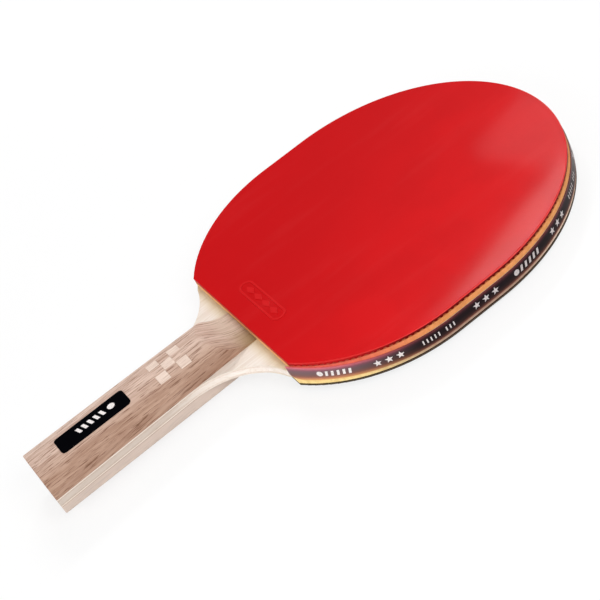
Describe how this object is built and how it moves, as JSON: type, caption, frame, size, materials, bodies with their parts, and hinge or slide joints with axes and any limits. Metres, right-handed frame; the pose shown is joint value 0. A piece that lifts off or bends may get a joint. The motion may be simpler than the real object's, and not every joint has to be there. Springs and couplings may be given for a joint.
{
  "type": "table tennis paddle",
  "caption": "Table tennis paddle with a five-ply blade, red and black pimpled rubbers, edge tape and a flared wooden handle.",
  "frame": {"origin": "under the middle of the paddle's box, on the plane that the handle lies on", "axes": "+Y along the handle from the butt to the tip, +Z out of the red rubber, +X across the head to the right when the tip points away"},
  "size_m": [0.1508, 0.26, 0.0214],
  "materials": {
    "ply_core": "raw, sanded",
    "ply_cross": "raw, sanded",
    "ply_face": "raw, sanded",
    "handle_wood": "open grain, light oil",
    "inlay_wood": "open grain, light oil",
    "nameplate_black": "gloss",
    "front_sponge": "fine open foam",
    "back_sponge": "fine open foam",
    "red_rubber": "smooth, tacky, soft sheen",
    "black_rubber": "smooth, tacky, soft sheen",
    "edge_tape": "printed satin tape"
  },
  "bodies": {
    "root": {"core_ply": "ply_core", "front_inner_ply": "ply_cross", "back_inner_ply": "ply_cross", "front_face_ply": "ply_face", "back_face_ply": "ply_face", "front_handle_slab": "handle_wood", "back_handle_slab": "handle_wood", "handle_inlays": "inlay_wood", "nameplate": "nameplate_black", "front_sponge": "front_sponge", "back_sponge": "back_sponge", "front_topsheet": "red_rubber", "back_topsheet": "black_rubber", "edge_tape": "edge_tape"}
  },
  "joints": []
}
